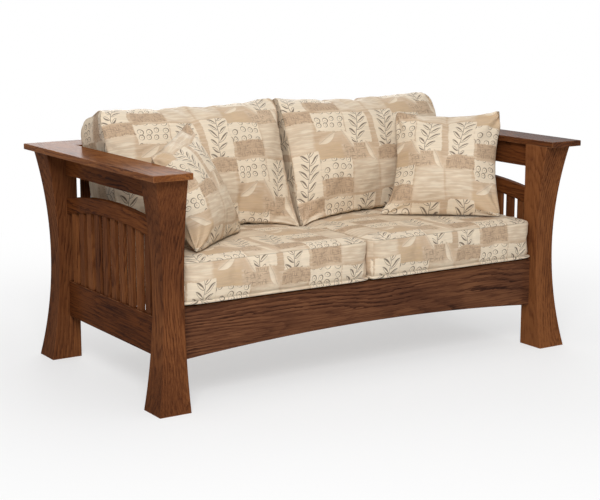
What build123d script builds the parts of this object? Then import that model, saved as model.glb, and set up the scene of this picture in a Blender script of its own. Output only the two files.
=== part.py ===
from build123d import *
from math import cos, radians, sin, sqrt, tan
import os

# A two-seat mission settle in dark stained oak, with loose seat and back cushions and
# two throw pillows. Millimetres, +Z up, +X along its length, and its front faces -Y.
# The origin lies on the floor under the middle of the settle.

# Overall sizes
feet_width = 1562
feet_depth = 870
arm_height = 711
cap_thickness = 19
cap_side_overhang = 22.5
cap_end_overhang = 29

# Posts: a square foot and top, with the two outer faces hollowed to a narrow waist
post_end = 104
post_waist = 70
post_edge_bevel = 1.5
post_stub_side = 50
post_stub_height = 12

# Rails and the joints that hold them in the posts
rail_thickness = 22
rail_outset = 38
rail_edge_bevel = 1.5
lower_rail_floor_gap = 142
side_rail_depth = 120
seat_rail_depth = 160
front_rail_rise = 30
top_rail_depth = 77
handhold_height = 47
arched_rail_depth = 51
arched_rail_rise = 30
tenon_thickness = 12
tenon_length = 30
tenon_shoulder = 10
tenon_wall = 3
fit_clearance = 0.2
glue_gap = 1

# Slats of the two side panels and of the back
slat_width = 32
slat_thickness = 12
slat_housing = 10
side_slat_count = 11
back_slat_count = 23

# Caps: how they are held, and their eased edges
cap_edge_round = 2.5
slip_width = 40
slip_thickness = 8
slip_length = 30
slip_in_cap = 12
side_slip_count = 3
back_slip_count = 5
joint_slip_spacing = 60

# Seat support: cleats, screws, stretcher and deck slats
deck_height = 309
deck_slat_thickness = 19
deck_slat_width = 70
deck_slat_count = 13
deck_slat_end_gap = 2
deck_slat_margin = 20
cleat_side = 25
cleat_end_gap = 4
screw_count = 4
screw_radius = 2.2
screw_head_radius = 4.4
screw_head_depth = 3
screw_length = 38
stretcher_thickness = 22
stretcher_depth = 60
stretcher_housing = 6

# Seat cushions
cushion_lift = 0.4
cushion_margin = 4
cushion_end_gap = 4
cushion_middle_gap = 3
seat_cushion_thickness = 127
seat_cushion_crown = 10
seat_cushion_drawn_in = 5
seat_cushion_overhang = 18
seat_cushion_rear_gap = 4

# Back cushions
back_lean_degrees = 18.8
back_cushion_front = 43
back_cushion_height = 418
back_cushion_crown = 44
back_cushion_drawn_in = 12
back_cushion_cap_gap = 1

# Throw pillows
pillow_side = 386
pillow_crown = 68
pillow_drawn_in = 14
pillow_seam = 3
pillow_turn_degrees = 40
pillow_lean_degrees = 27
pillow_arm_gap = 2
pillow_inner_y = -70

# Places that several pieces share
post_height = arm_height - cap_thickness
inner_x = feet_width / 2 - post_end
inner_y = feet_depth / 2 - post_end
rail_mid = rail_outset - rail_thickness / 2
side_mid_x = inner_x + rail_mid
end_mid_y = inner_y + rail_mid
end_inner_y = end_mid_y - rail_thickness / 2
stub_tenon_length = rail_mid - tenon_thickness / 2 - tenon_wall
top_rail_bottom = post_height - top_rail_depth
side_rail_top = lower_rail_floor_gap + side_rail_depth
seat_rail_top = lower_rail_floor_gap + seat_rail_depth
arched_rail_bottom = (
    top_rail_bottom - handhold_height - arched_rail_rise - arched_rail_depth
)
cap_outer_x = feet_width / 2 + cap_side_overhang
cap_end_y = feet_depth / 2 + cap_end_overhang

# Upright planes through the middle of the rails: local x runs along the rail, local y up
side_plane = Plane(origin=(side_mid_x, 0, 0), x_dir=(0, 1, 0), z_dir=(1, 0, 0))
front_plane = Plane(origin=(0, -end_mid_y, 0), x_dir=(1, 0, 0), z_dir=(0, -1, 0))
back_plane = Plane(origin=(0, end_mid_y, 0), x_dir=(1, 0, 0), z_dir=(0, -1, 0))


def mirrored(part, plane):
    """The same piece on the other side of the settle."""
    with BuildPart() as twin:
        mirror(part, about=plane)
    return twin.part


# Posts
def tenon_zone(bottom, depth):
    """Middle height and height of the tenon on a rail."""
    return bottom + depth / 2, depth - 2 * tenon_shoulder


side_rail_zones = [
    tenon_zone(lower_rail_floor_gap, side_rail_depth),
    tenon_zone(arched_rail_bottom, arched_rail_depth),
    tenon_zone(top_rail_bottom, top_rail_depth),
]
front_rail_zones = [tenon_zone(lower_rail_floor_gap, seat_rail_depth)]
back_rail_zones = front_rail_zones + [tenon_zone(top_rail_bottom, top_rail_depth)]


def post_outline():
    """A post seen square on: straight inner side, hollow outer side."""
    with BuildLine() as outline:
        Polyline((post_end, 0), (0, 0), (0, post_height), (post_end, post_height))
        ThreePointArc(
            (post_end, post_height), (post_waist, post_height / 2), (post_end, 0)
        )
    return outline.line


def make_post(long_rail_zones):
    """The post at the back right corner, mortised for its rails."""
    corner = (inner_x, inner_y, 0)
    inner_end_face = Plane(origin=corner, x_dir=(1, 0, 0), z_dir=(0, -1, 0))
    inner_side_face = Plane(origin=corner, x_dir=(0, 1, 0), z_dir=(1, 0, 0))
    with BuildPart() as post:
        with BuildSketch(inner_end_face):
            add(post_outline())
            make_face()
        extrude(amount=-post_end)
        with BuildSketch(inner_side_face):
            add(post_outline())
            make_face()
        extrude(amount=post_end, mode=Mode.INTERSECT)
        arrises = post.edges().filter_by(lambda edge: edge.length > post_height - post_waist)
        chamfer(arrises, length=post_edge_bevel)
        with BuildSketch(Plane((inner_x, inner_y, post_height))):
            with Locations((post_end / 2, post_end / 2)):
                Rectangle(post_stub_side, post_stub_side)
        extrude(amount=post_stub_height)
        with BuildSketch(inner_end_face):
            for middle, height in side_rail_zones:
                with Locations((rail_mid, middle)):
                    Rectangle(
                        tenon_thickness + 2 * fit_clearance, height + 2 * fit_clearance
                    )
        extrude(amount=-(tenon_length + glue_gap), mode=Mode.SUBTRACT)
        with BuildSketch(inner_side_face):
            for middle, height in long_rail_zones:
                with Locations((rail_mid, middle)):
                    Rectangle(
                        tenon_thickness + 2 * fit_clearance, height + 2 * fit_clearance
                    )
        extrude(amount=stub_tenon_length + glue_gap, mode=Mode.SUBTRACT)
    return post.part


back_right_post = make_post(back_rail_zones)
front_right_post = mirrored(make_post(front_rail_zones), Plane.XZ)
nodes = {
    "post_back_right": back_right_post,
    "post_back_left": mirrored(back_right_post, Plane.YZ),
    "post_front_right": front_right_post,
    "post_front_left": mirrored(front_right_post, Plane.YZ),
}


# Rails
def rail_edge(start, end, rise):
    """One long edge of a rail, straight or arched upwards by its rise."""
    if rise:
        middle = ((start[0] + end[0]) / 2, start[1] + rise)
        ThreePointArc(start, middle, end)
    else:
        Line(start, end)


def make_rail(plane, half_length, bottom, depth, tenon, lower_rise=0, upper_rise=0):
    """A rail between two posts, with a shouldered tenon on each end."""
    top = bottom + depth
    with BuildPart() as rail:
        with BuildSketch(plane):
            with BuildLine():
                rail_edge((-half_length, bottom), (half_length, bottom), lower_rise)
                Line((half_length, bottom), (half_length, top))
                rail_edge((half_length, top), (-half_length, top), upper_rise)
                Line((-half_length, top), (-half_length, bottom))
            make_face()
        extrude(amount=rail_thickness / 2, both=True)
        chamfer(
            rail.edges().filter_by(lambda edge: edge.length > half_length),
            length=rail_edge_bevel,
        )
        with BuildSketch(plane):
            middle, height = tenon_zone(bottom, depth)
            for end in (-1, 1):
                with Locations((end * (half_length + tenon / 2), middle)):
                    Rectangle(tenon, height)
        extrude(amount=tenon_thickness / 2, both=True)
    return rail.part


def slat_centres(count, half_length):
    """Even places of the slats between two posts, with equal gaps."""
    gap = (2 * half_length - count * slat_width) / (count + 1)
    first = -half_length + gap + slat_width / 2
    return [first + step * (slat_width + gap) for step in range(count)]


def arch_height(offset, half_length, rise):
    """How far an arched edge has climbed above its ends, at an offset from its middle."""
    radius = (half_length**2 + rise**2) / (2 * rise)
    return sqrt(radius**2 - offset**2) - (radius - rise)


side_slat_places = slat_centres(side_slat_count, inner_y)
back_slat_places = slat_centres(back_slat_count, inner_x)
side_slat_tops = [
    arched_rail_bottom
    + arch_height(abs(place) + slat_width / 2, inner_y, arched_rail_rise)
    + slat_housing
    for place in side_slat_places
]
back_slat_tops = [top_rail_bottom + slat_housing for place in back_slat_places]


def housed(part, places, low, high, along_y):
    """A rail with a housing cut for each slat, from its low to its high end."""
    across = slat_thickness + 2 * fit_clearance
    along = slat_width + 2 * fit_clearance
    with BuildPart() as rail:
        add(part)
        for place, start, stop in zip(places, low, high):
            spot = (side_mid_x, place) if along_y else (place, end_mid_y)
            with BuildSketch(Plane.XY.offset(start)):
                with Locations(spot):
                    if along_y:
                        Rectangle(across, along)
                    else:
                        Rectangle(along, across)
            extrude(amount=stop - start, mode=Mode.SUBTRACT)
    return rail.part


def make_slats(places, bottom, tops, along_y):
    """Upright slats of one panel, each let into the rails above and below it."""
    with BuildPart() as slats:
        for place, top in zip(places, tops):
            spot = (side_mid_x, place) if along_y else (place, end_mid_y)
            with BuildSketch(Plane.XY.offset(bottom)):
                with Locations(spot):
                    if along_y:
                        Rectangle(slat_thickness, slat_width)
                    else:
                        Rectangle(slat_width, slat_thickness)
            extrude(amount=top - bottom)
    return slats.part


def deepened(tops):
    """The tops of the slats with room for glue above them."""
    return [top + glue_gap for top in tops]


side_slat_bottom = side_rail_top - slat_housing
back_slat_bottom = seat_rail_top - slat_housing

side_bottom_rail = housed(
    make_rail(side_plane, inner_y, lower_rail_floor_gap, side_rail_depth, tenon_length),
    side_slat_places,
    [side_slat_bottom - glue_gap] * side_slat_count,
    [side_rail_top] * side_slat_count,
    along_y=True,
)
side_arched_rail = housed(
    make_rail(
        side_plane,
        inner_y,
        arched_rail_bottom,
        arched_rail_depth,
        tenon_length,
        lower_rise=arched_rail_rise,
        upper_rise=arched_rail_rise,
    ),
    side_slat_places,
    [arched_rail_bottom] * side_slat_count,
    deepened(side_slat_tops),
    along_y=True,
)
side_slats = make_slats(side_slat_places, side_slat_bottom, side_slat_tops, along_y=True)
back_bottom_rail = housed(
    make_rail(back_plane, inner_x, lower_rail_floor_gap, seat_rail_depth, stub_tenon_length),
    back_slat_places,
    [back_slat_bottom - glue_gap] * back_slat_count,
    [seat_rail_top] * back_slat_count,
    along_y=False,
)
back_top_rail = housed(
    make_rail(back_plane, inner_x, top_rail_bottom, top_rail_depth, stub_tenon_length),
    back_slat_places,
    [top_rail_bottom] * back_slat_count,
    deepened(back_slat_tops),
    along_y=False,
)
nodes["back_slats"] = make_slats(
    back_slat_places, back_slat_bottom, back_slat_tops, along_y=False
)
front_rail = make_rail(
    front_plane,
    inner_x,
    lower_rail_floor_gap,
    seat_rail_depth,
    stub_tenon_length,
    lower_rise=front_rail_rise,
)
side_top_rail = make_rail(
    side_plane, inner_y, top_rail_bottom, top_rail_depth, tenon_length
)

# Slips, or loose tenons, between the top rails and the caps and in the back cap's butt joints
def even_places(count, half_length):
    """Even places along a rail, clear of its ends."""
    return [(step + 1) * 2 * half_length / (count + 1) - half_length for step in range(count)]


side_slip_places = [(side_mid_x, place) for place in even_places(side_slip_count, inner_y)]
back_slip_places = [(place, end_mid_y) for place in even_places(back_slip_count, inner_x)]
back_cap_mid_y = (inner_y + cap_end_y) / 2
cap_mid_height = post_height + cap_thickness / 2
joint_slip_places = [
    (back_cap_mid_y + side * joint_slip_spacing / 2, cap_mid_height) for side in (-1, 1)
]
cap_slip_plane = Plane.XY.offset(post_height + slip_in_cap - slip_length)
joint_slip_plane = Plane(
    origin=(inner_x - slip_length / 2, 0, 0), x_dir=(0, 1, 0), z_dir=(1, 0, 0)
)


def make_slips(plane, places, size, side_room=0, end_room=0):
    """Slips that start on a plane, or with some room round them, their mortises."""
    with BuildPart() as slips:
        with BuildSketch(plane.offset(-end_room)):
            with Locations(places):
                Rectangle(size[0] + 2 * side_room, size[1] + 2 * side_room)
        extrude(amount=slip_length + 2 * end_room)
    return slips.part


def make_slip_mortises(plane, places, size):
    """The mortises for slips, with their clearance and room for glue."""
    return make_slips(plane, places, size, fit_clearance, glue_gap)


def cut_out(part, shapes):
    """A piece with the shapes of what goes into it taken out."""
    with BuildPart() as piece:
        add(part)
        for shape in shapes:
            add(shape, mode=Mode.SUBTRACT)
    return piece.part


side_slips = (cap_slip_plane, side_slip_places, (slip_thickness, slip_width))
back_slips = (cap_slip_plane, back_slip_places, (slip_width, slip_thickness))
joint_slips = (joint_slip_plane, joint_slip_places, (slip_width, slip_thickness))
side_mortises = make_slip_mortises(*side_slips)
back_mortises = make_slip_mortises(*back_slips)
joint_mortises = make_slip_mortises(*joint_slips)
with BuildPart() as cap_slips:
    add(make_slips(*side_slips))
    add(make_slips(*joint_slips))
    mirror(about=Plane.YZ)
    add(make_slips(*back_slips))
nodes["cap_slips"] = cap_slips.part

side_top_rail = cut_out(side_top_rail, [side_mortises])
nodes["back_top_rail"] = cut_out(back_top_rail, [back_mortises])

# Caps: an arm board on each side, and the back board between them
with BuildPart() as arm_cap:
    with BuildSketch(Plane.XY.offset(post_height)):
        with Locations(((inner_x + cap_outer_x) / 2, 0)):
            Rectangle(cap_outer_x - inner_x, 2 * cap_end_y)
    extrude(amount=cap_thickness)
    top_edges = arm_cap.faces().sort_by(Axis.Z)[-1].edges()
    bottom_edges = arm_cap.faces().sort_by(Axis.Z)[0].edges()
    outer_edges = (top_edges + bottom_edges).filter_by(
        lambda edge: edge.center().X > inner_x + fit_clearance
    )
    fillet(outer_edges, radius=cap_edge_round)
    with BuildSketch(Plane.XY.offset(post_height)):
        for end in (-1, 1):
            with Locations((inner_x + post_end / 2, end * (inner_y + post_end / 2))):
                Rectangle(
                    post_stub_side + 2 * fit_clearance, post_stub_side + 2 * fit_clearance
                )
    extrude(amount=post_stub_height + glue_gap, mode=Mode.SUBTRACT)
    add(side_mortises, mode=Mode.SUBTRACT)
    add(joint_mortises, mode=Mode.SUBTRACT)

with BuildPart() as back_cap:
    with BuildSketch(Plane.XY.offset(post_height)):
        with Locations((0, back_cap_mid_y)):
            Rectangle(2 * inner_x, cap_end_y - inner_y)
    extrude(amount=cap_thickness)
    fillet(back_cap.edges().filter_by(Axis.X), radius=cap_edge_round)
    add(back_mortises, mode=Mode.SUBTRACT)
    add(joint_mortises, mode=Mode.SUBTRACT)
    add(mirrored(joint_mortises, Plane.YZ), mode=Mode.SUBTRACT)
nodes["back_cap"] = back_cap.part

# Seat support
cleat_top = deck_height - deck_slat_thickness
cleat_length = 2 * (inner_x - cleat_end_gap)
cleat_mid_height = cleat_top - cleat_side / 2
screw_pitch = cleat_length / screw_count
screw_places = [
    (-cleat_length / 2 + (step + 1 / 2) * screw_pitch, cleat_mid_height)
    for step in range(screw_count)
]
cleat_face_y = end_inner_y - cleat_side
stretcher_top = cleat_top - cleat_side
back_cleat_face = Plane(origin=(0, cleat_face_y, 0), x_dir=(-1, 0, 0), z_dir=(0, 1, 0))

with BuildPart() as back_cleat:
    with BuildSketch(back_cleat_face):
        with Locations((0, cleat_mid_height)):
            Rectangle(cleat_length, cleat_side)
    extrude(amount=cleat_side)

with BuildPart() as back_screws:
    for place, height in screw_places:
        axis_plane = Plane(
            origin=(place, cleat_face_y, height), x_dir=(1, 0, 0), z_dir=(0, 0, 1)
        )
        with BuildSketch(axis_plane):
            with BuildLine():
                Polyline(
                    (0, 0),
                    (screw_head_radius, 0),
                    (screw_radius, screw_head_depth),
                    (screw_radius, screw_length),
                    (0, screw_length),
                    close=True,
                )
            make_face()
        revolve(axis=Axis((place, cleat_face_y, height), (0, 1, 0)))

stretcher_outline = Plane(
    origin=(0, 0, stretcher_top - stretcher_depth), x_dir=(1, 0, 0), z_dir=(0, 0, 1)
)
with BuildPart() as centre_stretcher:
    with BuildSketch(stretcher_outline):
        Rectangle(stretcher_thickness, 2 * (end_inner_y + stretcher_housing))
    extrude(amount=stretcher_depth)

front_screws = mirrored(back_screws.part, Plane.XZ)
nodes["front_cleat"] = cut_out(mirrored(back_cleat.part, Plane.XZ), [front_screws])
nodes["back_cleat"] = cut_out(back_cleat.part, [back_screws.part])
nodes["centre_stretcher"] = centre_stretcher.part
nodes["front_rail"] = cut_out(front_rail, [front_screws, centre_stretcher.part])
nodes["back_bottom_rail"] = cut_out(
    back_bottom_rail, [back_screws.part, centre_stretcher.part]
)
with BuildPart() as cleat_screws:
    add(back_screws.part)
    add(front_screws)
nodes["cleat_screws"] = cleat_screws.part

deck_slat_length = 2 * (end_inner_y - deck_slat_end_gap)
deck_slat_pitch = (2 * (inner_x - deck_slat_margin) - deck_slat_width) / (
    deck_slat_count - 1
)
with BuildPart() as deck_slats:
    with BuildSketch(Plane.XY.offset(cleat_top)):
        with GridLocations(deck_slat_pitch, 0, deck_slat_count, 1):
            Rectangle(deck_slat_width, deck_slat_length)
    extrude(amount=deck_slat_thickness)
nodes["deck_slats"] = deck_slats.part

# Side pieces stand on both sides of the settle
for name, part in {
    "arm_cap": arm_cap.part,
    "side_top_rail": side_top_rail,
    "side_arched_rail": side_arched_rail,
    "side_bottom_rail": side_bottom_rail,
    "side_slats": side_slats,
}.items():
    nodes[name + "_right"] = part
    nodes[name + "_left"] = mirrored(part, Plane.YZ)


# Cushions
def drawn_outline(half_width, half_height, drawn_in):
    """Four shallow arcs between the corners of a cushion, hollow where drawn in."""
    corners = [
        (-half_width, -half_height),
        (half_width, -half_height),
        (half_width, half_height),
        (-half_width, half_height),
    ]
    middles = [
        (0, -half_height + drawn_in),
        (half_width - drawn_in, 0),
        (0, half_height - drawn_in),
        (-half_width + drawn_in, 0),
    ]
    with BuildLine() as outline:
        for index, middle in enumerate(middles):
            ThreePointArc(corners[index], middle, corners[(index + 1) % len(corners)])
    return outline.line


def crowned_profile(half_width, depth, front_crown, rear_crown, margin):
    """A cushion cut through: its front arched, its rear flat or arched the other way."""
    corner = half_width - margin
    with BuildLine() as profile:
        Polyline((-corner, 0), (-half_width, 0), (-half_width, -depth), (-corner, -depth))
        if rear_crown:
            ThreePointArc((-corner, -depth), (0, -depth - rear_crown), (corner, -depth))
        else:
            Line((-corner, -depth), (corner, -depth))
        Polyline((corner, -depth), (half_width, -depth), (half_width, 0), (corner, 0))
        ThreePointArc((corner, 0), (0, front_crown), (-corner, 0))
    return profile.line


def make_cushion(plane, width, height, depth, drawn_in, margin, front_crown, rear_crown=0):
    """A cushion behind the plane of its front seam, crowned both ways and drawn in."""
    across = Plane(origin=plane.origin, x_dir=plane.x_dir, z_dir=-plane.y_dir)
    upright = Plane(origin=plane.origin, x_dir=plane.y_dir, z_dir=plane.x_dir)
    with BuildPart() as cushion:
        with BuildSketch(across):
            add(crowned_profile(width / 2, depth, front_crown, rear_crown, margin))
            make_face()
        extrude(amount=height / 2, both=True)
        with BuildSketch(upright):
            add(crowned_profile(height / 2, depth, front_crown, rear_crown, margin))
            make_face()
        extrude(amount=width / 2, both=True, mode=Mode.INTERSECT)
        with BuildSketch(plane.offset(-depth - rear_crown)):
            add(drawn_outline(width / 2, height / 2, drawn_in))
            make_face()
        extrude(amount=depth + rear_crown + front_crown, mode=Mode.INTERSECT)
    return cushion.part


cushion_width = inner_x - cushion_end_gap - cushion_middle_gap / 2
cushion_mid_x = cushion_middle_gap / 2 + cushion_width / 2
seat_front_y = -end_mid_y - rail_thickness / 2 - seat_cushion_overhang
seat_rear_y = end_inner_y - seat_cushion_rear_gap
seat_seam_height = deck_height + cushion_lift + seat_cushion_thickness
seat_plane = Plane(
    origin=(cushion_mid_x, (seat_front_y + seat_rear_y) / 2, seat_seam_height),
    x_dir=(1, 0, 0),
    z_dir=(0, 0, 1),
)
seat_cushion = make_cushion(
    seat_plane,
    cushion_width,
    seat_rear_y - seat_front_y,
    seat_cushion_thickness,
    seat_cushion_drawn_in,
    cushion_margin,
    seat_cushion_crown,
)
nodes["seat_cushion_right"] = seat_cushion
nodes["seat_cushion_left"] = mirrored(seat_cushion, Plane.YZ)

# The back cushions stand on the seat's crown, lean back, and touch the back cap's edge
lean = radians(back_lean_degrees)
seat_top_height = seat_seam_height + seat_cushion_crown
crown_drop = seat_cushion_crown - arch_height(
    back_cushion_front - (seat_front_y + seat_rear_y) / 2,
    (seat_rear_y - seat_front_y) / 2 - cushion_margin,
    seat_cushion_crown,
)
cushion_foot = seat_top_height - crown_drop + cushion_lift
front_at_cap = back_cushion_front + (arm_height - cushion_foot) * tan(lean)
back_boxing = (inner_y - back_cushion_cap_gap - front_at_cap) * cos(lean)
back_plane_middle = (
    cushion_mid_x,
    back_cushion_front + back_cushion_height / 2 * sin(lean),
    cushion_foot + back_cushion_height / 2 * cos(lean),
)
back_cushion_plane = Plane(
    origin=back_plane_middle, x_dir=(1, 0, 0), z_dir=(0, -cos(lean), sin(lean))
)
with BuildPart() as back_cushion:
    add(
        make_cushion(
            back_cushion_plane,
            cushion_width,
            back_cushion_height,
            back_boxing,
            back_cushion_drawn_in,
            cushion_margin,
            back_cushion_crown,
        )
    )
    split(bisect_by=Plane.XY.offset(cushion_foot), keep=Keep.TOP)
nodes["back_cushion_right"] = back_cushion.part
nodes["back_cushion_left"] = mirrored(back_cushion.part, Plane.YZ)

# The throw pillows stand on the seat in the two corners, turned and leaning back
turn = radians(pillow_turn_degrees)
pillow_lean = radians(pillow_lean_degrees)
pillow_foot = seat_top_height + cushion_lift
along = Vector(cos(turn), -sin(turn), 0)
facing = Vector(
    -sin(turn) * cos(pillow_lean), -cos(turn) * cos(pillow_lean), sin(pillow_lean)
)
upward = facing.cross(along)
# The outer edge passes just inside the arm cap
edge_at_arm = along * pillow_side + upward * ((arm_height - pillow_foot) / upward.Z)
pillow_corner = Vector(
    inner_x - pillow_arm_gap - edge_at_arm.X, pillow_inner_y, pillow_foot
)
pillow_middle = pillow_corner + (along + upward) * (pillow_side / 2)
pillow_plane = Plane(
    origin=pillow_middle + facing * (pillow_seam / 2), x_dir=along, z_dir=facing
)
throw_pillow = make_cushion(
    pillow_plane,
    pillow_side,
    pillow_side,
    pillow_seam,
    pillow_drawn_in,
    pillow_drawn_in,
    pillow_crown,
    pillow_crown,
)
nodes["throw_pillow_right"] = throw_pillow
nodes["throw_pillow_left"] = mirrored(throw_pillow, Plane.YZ)

os.makedirs("parts", exist_ok=True)
for name, part in nodes.items():
    part.label = name
    export_step(part, "parts/" + name + ".step")
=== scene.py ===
import math

import bpy
import numpy as np
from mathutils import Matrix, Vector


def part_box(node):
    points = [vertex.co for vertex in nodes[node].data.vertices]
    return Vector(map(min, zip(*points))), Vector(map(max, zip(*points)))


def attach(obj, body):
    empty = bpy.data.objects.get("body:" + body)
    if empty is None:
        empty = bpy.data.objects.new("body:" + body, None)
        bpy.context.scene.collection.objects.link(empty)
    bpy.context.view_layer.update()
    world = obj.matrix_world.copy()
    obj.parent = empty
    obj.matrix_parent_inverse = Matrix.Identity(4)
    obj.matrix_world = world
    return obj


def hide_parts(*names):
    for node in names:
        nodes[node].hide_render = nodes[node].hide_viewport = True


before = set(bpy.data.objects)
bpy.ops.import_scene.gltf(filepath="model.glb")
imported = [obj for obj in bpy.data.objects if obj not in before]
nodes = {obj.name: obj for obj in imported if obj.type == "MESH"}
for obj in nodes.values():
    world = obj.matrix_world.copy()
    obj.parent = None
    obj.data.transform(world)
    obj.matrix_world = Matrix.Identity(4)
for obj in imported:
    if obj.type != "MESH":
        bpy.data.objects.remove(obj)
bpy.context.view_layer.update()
scene = bpy.context.scene
scene.view_settings.view_transform = "Standard"


# Camera
# The settle is seen from its front left corner, from a little above its arms, through a
# long lens. The place and turn follow the straight edges of its frame.
camera_place = (-2.6387, -4.0520, 1.2756)
camera_turn = math.radians(-32.88)
camera_pitch = math.radians(10.90)
focal_pixels = 1459.9
picture_pixels = 600
sensor_width = 36

camera = bpy.data.objects.new("camera", bpy.data.cameras.new("camera"))
camera.data.sensor_width = sensor_width
camera.data.lens = sensor_width * focal_pixels / picture_pixels
camera.location = camera_place
camera.rotation_euler = (math.pi / 2 - camera_pitch, 0, camera_turn)
scene.collection.objects.link(camera)
scene.camera = camera


# Studio
# A pale floor that runs out of sight into a white backdrop, under a dim even sky, with large
# soft lamps: a key in front on the left, a wider one overhead, and two weak ones behind.
floor_half = 30.0
floor_tones = (0.84, 0.88)
floor_roughness = 0.9
floor_specular = 0.1
shadow_reach = (0.7, 2.6)
glow_share = (0.55, 1.0)
white = (1, 1, 1, 1)
sky_strength = 0.32
lamp_aim = (0, 0, 0.45)


def plug(tree, socket, value):
    """Sets a socket, or wires it where the value is another node's output."""
    if isinstance(value, bpy.types.NodeSocket):
        tree.links.new(value, socket)
    else:
        socket.default_value = value


def plug_all(tree, node, inputs):
    """Plugs a node's inputs by their names."""
    for name, value in inputs.items():
        plug(tree, node.inputs[name], value)


def add_node(tree, kind, inputs=None, **settings):
    """A shader node with its settings made and its named inputs plugged."""
    node = tree.nodes.new("ShaderNode" + kind)
    for name, value in settings.items():
        setattr(node, name, value)
    plug_all(tree, node, inputs or {})
    return node


def calc(tree, operation, *values):
    """The output of one Math node on numbers or sockets."""
    node = add_node(tree, "Math", operation=operation)
    for socket, value in zip(node.inputs, values):
        plug(tree, socket, value)
    return node.outputs[0]


def ramp(tree, value, low, high, first=0.0, last=1.0):
    """A smooth step of a value from one level to another."""
    return add_node(
        tree,
        "MapRange",
        {"Value": value, "From Min": low, "From Max": high, "To Min": first, "To Max": last},
        interpolation_type="SMOOTHSTEP",
    ).outputs[0]


def spread(tree, value, first, last):
    """A value between 0 and 1 brought between two others."""
    return add_node(
        tree, "MapRange", {"Value": value, "To Min": first, "To Max": last}
    ).outputs[0]


def length_of(tree, vector):
    """A vector's length."""
    node = add_node(tree, "VectorMath", {0: vector}, operation="LENGTH")
    return node.outputs["Value"]


def new_finish(name):
    """A material, its node tree and its shader."""
    finish = bpy.data.materials.new(name)
    finish.use_nodes = True
    return finish, finish.node_tree, finish.node_tree.nodes["Principled BSDF"]


def seen_ray(tree):
    """1 for rays that the camera sees, straight or by way of a gloss or a glass."""
    rays = add_node(tree, "LightPath").outputs
    mirrored = calc(tree, "MAXIMUM", rays["Is Glossy Ray"], rays["Is Transmission Ray"])
    return calc(tree, "MAXIMUM", rays["Is Camera Ray"], mirrored)


world = bpy.data.worlds.new("studio")
scene.world = world
world.use_nodes = True
sky = world.node_tree
sky_light = calc(sky, "MAXIMUM", seen_ray(sky), sky_strength)
plug_all(sky, sky.nodes["Background"], {"Color": white, "Strength": sky_light})

floor_mesh = bpy.data.meshes.new("floor")
floor_mesh.from_pydata(
    [(x * floor_half, y * floor_half, 0) for x, y in ((-1, -1), (1, -1), (1, 1), (-1, 1))],
    [],
    [(0, 1, 2, 3)],
)
floor = bpy.data.objects.new("floor", floor_mesh)
scene.collection.objects.link(floor)
floor_finish, paper, paper_shader = new_finish("floor_paper")
paper_grain = add_node(paper, "TexNoise", {"Scale": 3.0, "Detail": 2.0}).outputs[0]
plug_all(
    paper,
    paper_shader,
    {
        "Base Color": spread(paper, paper_grain, *floor_tones),
        "Roughness": floor_roughness,
        "Specular IOR Level": floor_specular,
    },
)
from_middle = length_of(paper, add_node(paper, "TexCoord").outputs["Object"])
far = ramp(paper, from_middle, *shadow_reach, *glow_share)
glow = add_node(paper, "Emission", {"Color": white, "Strength": 1.0})
blended = add_node(paper, "MixShader", {0: calc(paper, "MULTIPLY", far, seen_ray(paper))})
plug(paper, blended.inputs[1], paper_shader.outputs[0])
plug(paper, blended.inputs[2], glow.outputs[0])
plug(paper, paper.nodes["Material Output"].inputs["Surface"], blended.outputs[0])
floor_mesh.materials.append(floor_finish)


def soft_lamp(name, place, size, watts):
    """A square lamp that faces the settle."""
    data = bpy.data.lights.new(name, "AREA")
    data.size = size
    data.energy = watts
    lamp = bpy.data.objects.new(name, data)
    lamp.location = place
    to_aim = [a - p for a, p in zip(lamp_aim, place)]
    lamp.rotation_euler = (
        math.acos(-to_aim[2] / math.dist(lamp_aim, place)),
        0,
        math.atan2(to_aim[1], to_aim[0]) - math.pi / 2,
    )
    scene.collection.objects.link(lamp)


soft_lamp("key", (-2.4, -3.4, 3.1), 1.8, 145)
soft_lamp("overhead", (0.2, -0.8, 4.2), 3.4, 38)
soft_lamp("back", (2.4, 3.2, 2.4), 3.0, 45)
soft_lamp("low back", (0.85, 3.6, 1.3), 1.2, 26)


# Posts
# Four posts of solid oak, hollowed on their two outer faces, stained a dark reddish brown
# and lacquered. Their grain runs upwards, and their edges are rubbed paler.
oak_light = (0.225, 0.083, 0.029, 1)
oak_medium = (0.122, 0.0415, 0.0155, 1)
oak_dark = (0.033, 0.0108, 0.0058, 1)
oak_worn = (0.34, 0.155, 0.070, 1)
oak_specular = 0.0
edge_wear = 0.55
edge_width = 0.003
pore_depth = 0.00025
lacquer_coat = 0.05
lacquer_roughness = 0.22
board_shift = 23.0
one_board = 100.0
# Waves along and across the grain per metre, then the size and detail of what they move.
side_heave = (2.2, 7.0, 0.06, 1.0)
depth_heave = (1.6, 3.0, 0.12, 1.0)
ring_heave = (9.0, 34.0, 1.5, 3.0)
ring_fray = (26.0, 260.0, 0.9, 2.0)
bold_patches = (2.6, 13.0)
streaks = (9.0, 330.0)
open_pores = (45.0, 1500.0)
clouds = (3.0, 9.0)
rubbing = (38.0, 38.0)
# Per-post stain: the front posts are paler than the back ones, partly their own board tone
# and partly a painted highlight of the light from the front.
post_stains_and_painted_light = {"front_left": 0.0, "front_right": -0.03, "back_left": 0.08, "back_right": 0.06}
axis_turns = {
    "x": (0, 0, 0),
    "x on edge": (math.pi / 2, 0, 0),
    "y": (0, 0, -math.pi / 2),
    "y on edge": (-math.pi / 2, -math.pi / 2, 0),
    "z": (0, math.pi / 2, 0),
    "z across x": (math.pi / 2, 0, math.pi / 2),
}


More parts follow.
